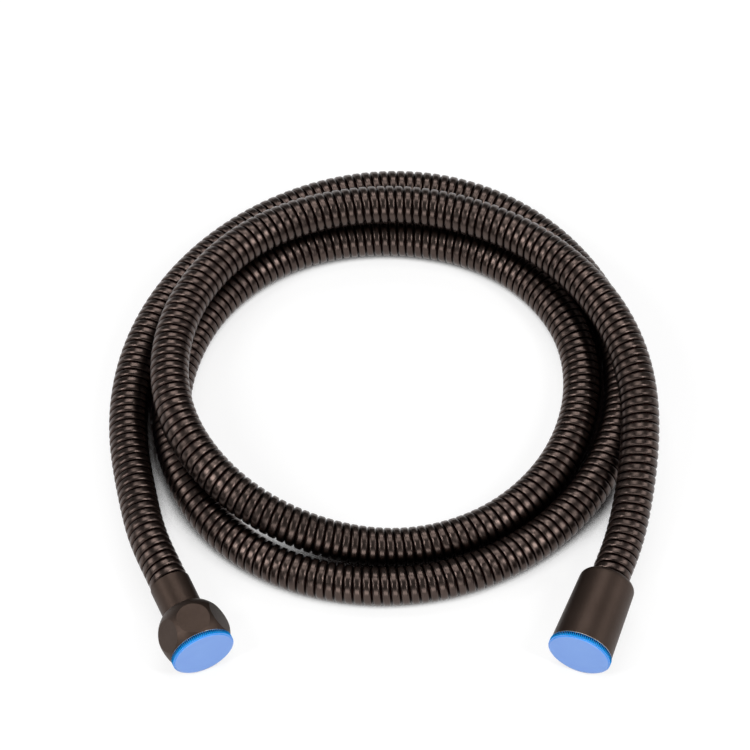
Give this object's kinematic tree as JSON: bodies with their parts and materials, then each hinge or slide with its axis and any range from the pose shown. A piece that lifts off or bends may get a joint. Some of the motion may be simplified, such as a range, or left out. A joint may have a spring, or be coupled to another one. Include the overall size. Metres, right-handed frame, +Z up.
{
  "type": "flexible metal hose",
  "caption": "Coiled flexible metal hose with a ribbed armour, a hexagon swivel nut and a conical swivel nut, each closed by a push-in plug.",
  "frame": {"origin": "on the floor, at the middle of the bounding box seen from above", "axes": "+Z up; both nuts and plugs lie on the -Y side of the coil, the hexagon nut at -X and the conical nut at +X"},
  "size_m": [0.2037, 0.2213, 0.0303],
  "materials": {
    "bronze_armour": "satin",
    "bronze_fitting": "satin",
    "tube_plastic": "matt",
    "brass": "plain",
    "crimp_metal": "plain",
    "white_nylon": "matt",
    "black_rubber": "matt",
    "blue_plastic": "satin"
  },
  "bodies": {
    "hose": {"casing": "bronze_armour", "inner_tube": "tube_plastic", "hex_collar": "bronze_fitting", "hex_tail": "brass", "hex_crimp_ring": "crimp_metal", "hex_slip_washer": "white_nylon", "cone_collar": "bronze_fitting", "cone_tail": "brass", "cone_crimp_ring": "crimp_metal", "cone_slip_washer": "white_nylon"},
    "hex_nut_body": {"hex_nut": "bronze_fitting", "hex_seal_washer": "black_rubber"},
    "cone_nut_body": {"cone_nut": "bronze_fitting", "cone_seal_washer": "black_rubber"},
    "hex_plug_body": {"hex_plug": "blue_plastic"},
    "cone_plug_body": {"cone_plug": "blue_plastic"}
  },
  "joints": [
    {"name": "hex_nut_swivel", "type": "hinge", "parent": "hose", "child": "hex_nut_body", "pos_m": [-0.07434, -0.08224, 0.0117], "axis": [0.4067, -0.9135, 0], "continuous": true},
    {"name": "cone_nut_swivel", "type": "hinge", "parent": "hose", "child": "cone_nut_body", "pos_m": [0.07874, -0.08274, 0.0117], "axis": [-0.3502, -0.9367, 0], "continuous": true},
    {"name": "hex_plug_slide", "type": "slide", "parent": "hex_nut_body", "child": "hex_plug_body", "axis": [0.4067, -0.9135, 0], "range_m": [0, 0.04]},
    {"name": "cone_plug_slide", "type": "slide", "parent": "cone_nut_body", "child": "cone_plug_body", "axis": [-0.3502, -0.9367, 0], "range_m": [0, 0.04]}
  ]
}
